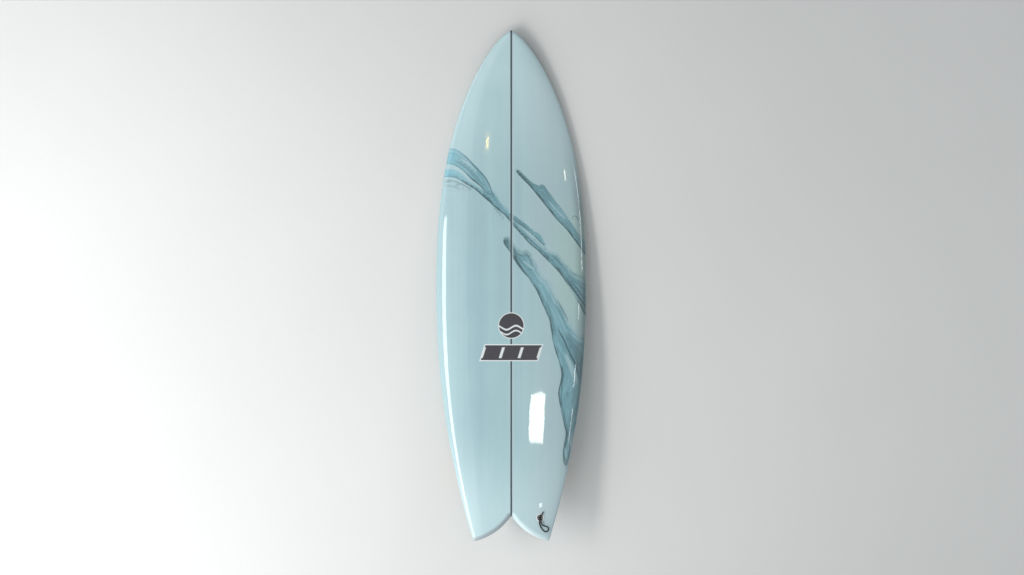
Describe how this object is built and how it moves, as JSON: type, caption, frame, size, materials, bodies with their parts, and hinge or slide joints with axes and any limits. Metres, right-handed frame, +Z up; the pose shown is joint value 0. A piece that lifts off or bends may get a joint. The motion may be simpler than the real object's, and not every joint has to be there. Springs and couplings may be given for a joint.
{
  "type": "shortboard surfboard",
  "caption": "Swallow-tailed fish surfboard with a tinted glassed foam blank, wooden stringer, leash plug with tied string, and pull-out keel fins held by grub screws.",
  "frame": {"origin": "on the floor under the middle of the board, measured without the leash string", "axes": "+Y to the nose, +Z up out of the deck, +X to the right looking from the tail with the deck up; the board is pitched 6.6 degrees nose down, as it lies on its belly and fin tips"},
  "size_m": [0.5236, 1.7738, 0.1854],
  "materials": {
    "deck_resin": "gloss",
    "bottom_resin": "gloss",
    "foam": "matte",
    "stringer_wood": "satin",
    "plug_plastic": "satin",
    "pin_steel": "polished",
    "string_cord": "matte",
    "fin_wood": "gloss",
    "fin_plug_plastic": "satin",
    "screw_steel": "satin"
  },
  "bodies": {
    "board": {"deck_lamination": "deck_resin", "bottom_lamination": "bottom_resin", "foam_blank_left": "foam", "foam_blank_right": "foam", "stringer": "stringer_wood", "leash_plug_cup": "plug_plastic", "leash_plug_pin": "pin_steel", "leash_string": "string_cord", "leash_string_knot": "string_cord", "fin_plug_left_front": "fin_plug_plastic", "fin_plug_left_rear": "fin_plug_plastic", "fin_plug_right_front": "fin_plug_plastic", "fin_plug_right_rear": "fin_plug_plastic"},
    "left_fin": {"keel_fin_left": "fin_wood"},
    "right_fin": {"keel_fin_right": "fin_wood"},
    "left_front_screw": {"fin_screw_left_front": "screw_steel"},
    "left_rear_screw": {"fin_screw_left_rear": "screw_steel"},
    "right_front_screw": {"fin_screw_right_front": "screw_steel"},
    "right_rear_screw": {"fin_screw_right_rear": "screw_steel"}
  },
  "joints": [
    {"name": "left_fin_pull", "type": "slide", "parent": "board", "child": "left_fin", "axis": [-0.0697, -0.1855, -0.9802], "range_m": [0, 0.015]},
    {"name": "right_fin_pull", "type": "slide", "parent": "board", "child": "right_fin", "axis": [0.0697, -0.1855, -0.9802], "range_m": [0, 0.015]},
    {"name": "left_front_screw_turn", "type": "hinge", "parent": "board", "child": "left_front_screw", "pos_m": [-0.13099, -0.59214, 0.11351], "axis": [0.5147, -0.1791, -0.8384], "range_deg": [0, 900]},
    {"name": "left_rear_screw_turn", "type": "hinge", "parent": "board", "child": "left_rear_screw", "pos_m": [-0.13483, -0.7001, 0.13422], "axis": [0.5147, -0.1791, -0.8384], "range_deg": [0, 900]},
    {"name": "right_front_screw_turn", "type": "hinge", "parent": "board", "child": "right_front_screw", "pos_m": [0.13099, -0.59214, 0.11351], "axis": [-0.5147, -0.1791, -0.8384], "range_deg": [0, 900]},
    {"name": "right_rear_screw_turn", "type": "hinge", "parent": "board", "child": "right_rear_screw", "pos_m": [0.13483, -0.7001, 0.13422], "axis": [-0.5147, -0.1791, -0.8384], "range_deg": [0, 900]}
  ]
}
